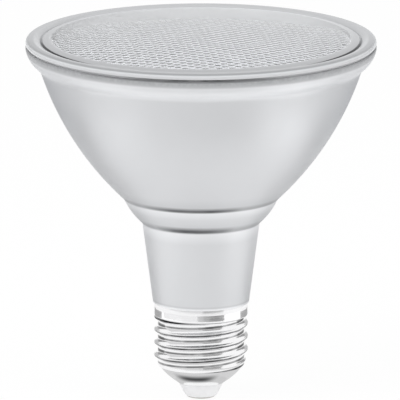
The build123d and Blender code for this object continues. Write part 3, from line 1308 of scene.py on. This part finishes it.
level = parts.outputs["Z"]
in_tuck = band(nickel, level, TUCK_HEIGHT * MM, TUCK_HALF_WIDTH * MM, TUCK_DEPTH)
towards_cone_shade = sideness(nickel, place, CONE_SHADE_AZIMUTH)
painted_shade_side = add_node(
    nickel,
    "ShaderNodeMapRange",
    {"Value": towards_cone_shade, "From Min": CONE_SHADE_SIDE[0], "From Max": CONE_SHADE_SIDE[1]},
    interpolation_type="SMOOTHSTEP",
)
cone_shade_middle = add_node(
    nickel,
    "ShaderNodeMath",
    {0: towards_cone_shade, 1: -CONE_SHADE_RISE * MM, 2: (CONE_SHADE_HEIGHT + CONE_SHADE_RISE) * MM},
    operation="MULTIPLY_ADD",
)
on_cone = band(
    nickel,
    level,
    cone_shade_middle.outputs[0],
    CONE_SHADE_HALF_WIDTH * MM,
    CONE_SHADE_DEPTH,
    interpolation_type="SMOOTHSTEP",
)
cone_shade = add_node(
    nickel, "ShaderNodeMath", {0: painted_shade_side.outputs["Result"], 1: on_cone}, operation="MULTIPLY"
)
for mark in (in_tuck, cone_shade.outputs[0]):
    nickel_shade = add_node(
        nickel, "ShaderNodeMath", {0: nickel_shade, 1: mark}, operation="MAXIMUM"
    ).outputs[0]
print("stain on the cone, height in mm:", CONE_SHADE_HEIGHT)

# %% [markdown]
# ## The nickel's surface
# All of the painted shade on the cap shares one dark tone. The plate is metal everywhere, so
# only its tone, its polish and the fine lines change.

# %% Nickel surface
# The dark tone of the painted shade on the cap.
NICKEL_SHADE_TONE = "#242527"

shaded_nickel_tone = add_node(
    nickel,
    "ShaderNodeMix",
    {"Factor": nickel_shade, "A": tone.outputs["Color"], "B": linear(NICKEL_SHADE_TONE)},
    data_type="RGBA",
)
surface = add_node(
    nickel,
    "ShaderNodeBsdfPrincipled",
    {
        "Base Color": shaded_nickel_tone.outputs["Result"],
        "Metallic": 1.0,
        "Roughness": polish.outputs["Result"],
        "Normal": rolled_lines.outputs["Normal"],
    },
)
add_node(nickel, "ShaderNodeOutputMaterial", {"Surface": surface.outputs["BSDF"]})
print("nodes in the nickel:", len(nickel.nodes))

# %% [markdown]
# ## White plastic
# The tip is moulded from a white heat-proof plastic. It is nearly white with a soft gloss, and
# the filler in it shows as a very faint cloudiness. A plain white would do from afar, but a
# noise as large as the clouds lets the tone and the gloss vary a little.

# %% White plastic
FILLER_CLOUD_MM = 1.2
PLASTIC_TONES = ((0, "#ededee"), (1, "#f5f5f6"))
PLASTIC_GLOSS = (0.28, 0.4)

white = new_finish("white_moulded_plastic", tip)
place = add_node(white, "ShaderNodeTexCoord")
cloud = add_node(
    white,
    "ShaderNodeTexNoise",
    {"Vector": place.outputs["Object"], "Scale": 1 / (FILLER_CLOUD_MM * MM), "Detail": 3.0},
)
tone = add_node(
    white, "ShaderNodeValToRGB", {"Fac": cloud.outputs["Fac"]}, ramp_stops(PLASTIC_TONES, 0, 1)
)
gloss = add_node(
    white,
    "ShaderNodeMapRange",
    {"Value": cloud.outputs["Fac"], "To Min": PLASTIC_GLOSS[0], "To Max": PLASTIC_GLOSS[1]},
)
surface = add_node(
    white,
    "ShaderNodeBsdfPrincipled",
    {"Base Color": tone.outputs["Color"], "Roughness": gloss.outputs["Result"]},
)
add_node(white, "ShaderNodeOutputMaterial", {"Surface": surface.outputs["BSDF"]})

# %% [markdown]
# ## Tinned contact
# The rivet is brass with a thin coat of tin, which is a softer and greyer metal than the
# nickel. Springs rub on such contacts and leave them scuffed. The scuffs are too shallow to
# model, so a fine noise varies the tone and the gloss instead.

# %% Tinned contact
SCUFF_MM = 0.6
TIN_TONES = ((0, "#b4b2ae"), (1, "#cfcdc9"))
TIN_GLOSS = (0.22, 0.45)

tin = new_finish("tinned_brass", contact)
place = add_node(tin, "ShaderNodeTexCoord")
scuffs = add_node(
    tin,
    "ShaderNodeTexNoise",
    {"Vector": place.outputs["Object"], "Scale": 1 / (SCUFF_MM * MM), "Detail": 4.0},
)
tone = add_node(
    tin, "ShaderNodeValToRGB", {"Fac": scuffs.outputs["Fac"]}, ramp_stops(TIN_TONES, 0, 1)
)
gloss = add_node(
    tin,
    "ShaderNodeMapRange",
    {"Value": scuffs.outputs["Fac"], "To Min": TIN_GLOSS[0], "To Max": TIN_GLOSS[1]},
)
surface = add_node(
    tin,
    "ShaderNodeBsdfPrincipled",
    {"Base Color": tone.outputs["Color"], "Metallic": 1.0, "Roughness": gloss.outputs["Result"]},
)
add_node(tin, "ShaderNodeOutputMaterial", {"Surface": surface.outputs["BSDF"]})

# %% [markdown]
# ## The white room
# The floor and the room are plain white. Camera, glossy and transmission rays see them as an
# even white, so that the background is clean and metal and glass show it too. The rest of the
# light in the room is lower, so that pale pieces keep their own colour.

# %% Floor and room
FLOOR_SIDE = 6.0
FLOOR_WHITE = "#fafafa"
FLOOR_EVEN_SHARE = 0.94
ROOM_SEEN = 1.0
ROOM_FILL = 0.62
WHITE = (1, 1, 1, 1)


def seen_share(tree):
    """One for the rays that show the background, and zero for the light in the room."""
    path = add_node(tree, "ShaderNodeLightPath")
    share = path.outputs["Is Camera Ray"]
    for ray in ("Is Glossy Ray", "Is Transmission Ray"):
        share = add_node(
            tree, "ShaderNodeMath", {0: share, 1: path.outputs[ray]}, operation="MAXIMUM"
        ).outputs[0]
    return share


bpy.ops.object.select_all(action="DESELECT")
bpy.ops.mesh.primitive_plane_add(size=FLOOR_SIDE)
floor_plane = bpy.context.object
floor_plane.name = "floor"
paper = new_finish("white_paper", floor_plane)
share = add_node(
    paper, "ShaderNodeMath", {0: seen_share(paper), 1: FLOOR_EVEN_SHARE}, operation="MULTIPLY"
)
matt = add_node(paper, "ShaderNodeBsdfDiffuse", {"Color": linear(FLOOR_WHITE)})
even = add_node(paper, "ShaderNodeEmission", {"Color": WHITE, "Strength": 1.0})
mixed = add_node(
    paper,
    "ShaderNodeMixShader",
    {0: share.outputs[0], 1: matt.outputs["BSDF"], 2: even.outputs["Emission"]},
)
add_node(paper, "ShaderNodeOutputMaterial", {"Surface": mixed.outputs["Shader"]})

world = bpy.data.worlds.new("white_room")
bpy.context.scene.world = world
world.use_nodes = True
room = world.node_tree
room.nodes.clear()
strength = add_node(
    room,
    "ShaderNodeMapRange",
    {"Value": seen_share(room), "To Min": ROOM_FILL, "To Max": ROOM_SEEN},
)
glow = add_node(
    room,
    "ShaderNodeBackground",
    {"Color": WHITE, "Strength": strength.outputs["Result"]},
)
add_node(room, "ShaderNodeOutputWorld", {"Surface": glow.outputs["Background"]})
print("floor side in m:", FLOOR_SIDE)

# %% [markdown]
# ## Cards round the lamp
# Bright metal and glass show what stands round them, and in an even white room they look like
# white plastic. Photographers stand grey and white cards round them instead. The cards here
# are strips of a cylinder, or flat strips and rings that lie on the floor, and only
# reflections can see them: they throw no light and no shadow. Angles run round the lamp from
# its front to its right. Each row gives a card's name, its first and last angle in degrees, its
# outline by radius and height in millimetres, and its brightness.

# %% Cards
ON_FLOOR = 0.3
RING_HEIGHT = 0.4
CARDS = (
    ("grey_wall_behind", (150, 210), ((600, 620), (600, ON_FLOOR)), 0.56),
    ("white_card_left", (-104, -46), ((122, ON_FLOOR), (88, ON_FLOOR)), 1.7),
    ("white_card_right", (46, 104), ((122, ON_FLOOR), (88, ON_FLOOR)), 1.85),
    ("dark_floor_right", (108, 152), ((140, ON_FLOOR), (55, ON_FLOOR)), 0.4),
    ("dark_floor_left", (208, 252), ((140, ON_FLOOR), (55, ON_FLOOR)), 0.4),
    ("pale_card_left", (-100, -10), ((100, 12), (100, ON_FLOOR)), 0.86),
    ("pale_card_in_front", (-8, 6), ((100, 12), (100, ON_FLOOR)), 0.5),
    ("grey_card_in_front", (6, 20), ((100, 12), (100, ON_FLOOR)), 0.34),
    ("dark_card_in_front", (20, 56), ((100, 12), (100, ON_FLOOR)), 0.22),
    ("white_card_beside", (58, 104), ((100, 12), (100, ON_FLOOR)), 1.3),
    ("pale_screen_left", (-104, 4), ((600, 500), (600, 20)), 0.7),
    ("grey_screen_in_front", (4, 56), ((600, 500), (600, 20)), 0.4),
    ("dark_screen_right", (106, 150), ((600, 200), (600, 20)), 0.3),
    ("dark_screen_left", (210, 256), ((600, 200), (600, 20)), 0.3),
    # The two rings under the tip are a painted shadow: they stand for the shaded floor under the
    # lamp, and only reflections see them.
    ("painted_shadow_ring_inner", (0, 360), ((9.8, RING_HEIGHT), (6.2, RING_HEIGHT)), 0.62),
    ("painted_shadow_ring_outer", (0, 360), ((20, RING_HEIGHT), (9.8, RING_HEIGHT)), 0.68),
)
FRONT = -90

for name, (start, end), card_outline, brightness in CARDS:
    card = turn_piece(name, card_outline, sweep=radians(end - start))
    card.rotation_euler.z = radians(end + FRONT)
    card.visible_camera = False
    card.visible_diffuse = False
    card.visible_transmission = False
    card.visible_shadow = False
    board = new_finish(name, card)
    shade = add_node(board, "ShaderNodeEmission", {"Color": WHITE, "Strength": brightness})
    add_node(board, "ShaderNodeOutputMaterial", {"Surface": shade.outputs["Emission"]})

# %% [markdown]
# ## Two soft lights
# Two large soft lights stand left and right of the camera. The left one is the stronger, and
# the right one opens up the shadow. Their own images would burn out in the metal, so
# reflections don't show them: the cards do that work.


# %% Lights
def soft_light(name, place_mm, target_mm, side_mm, watts):
    """A square area light that points at a target."""
    bpy.ops.object.light_add(type="AREA", location=Vector(place_mm) * MM)
    light = bpy.context.object
    light.name = name
    towards = (Vector(target_mm) - Vector(place_mm)).normalized()
    light.rotation_euler = towards.to_track_quat("-Z", "Y").to_euler()
    light.data.size = side_mm * MM
    light.data.energy = watts
    light.visible_glossy = False
    print(name, "with", watts, "watts")


LAMP_MIDDLE = (0, 0, 50)
soft_light("key_light", (-700, -500, 900), LAMP_MIDDLE, side_mm=1200, watts=9)
soft_light("fill_light", (800, -350, 500), LAMP_MIDDLE, side_mm=900, watts=4)
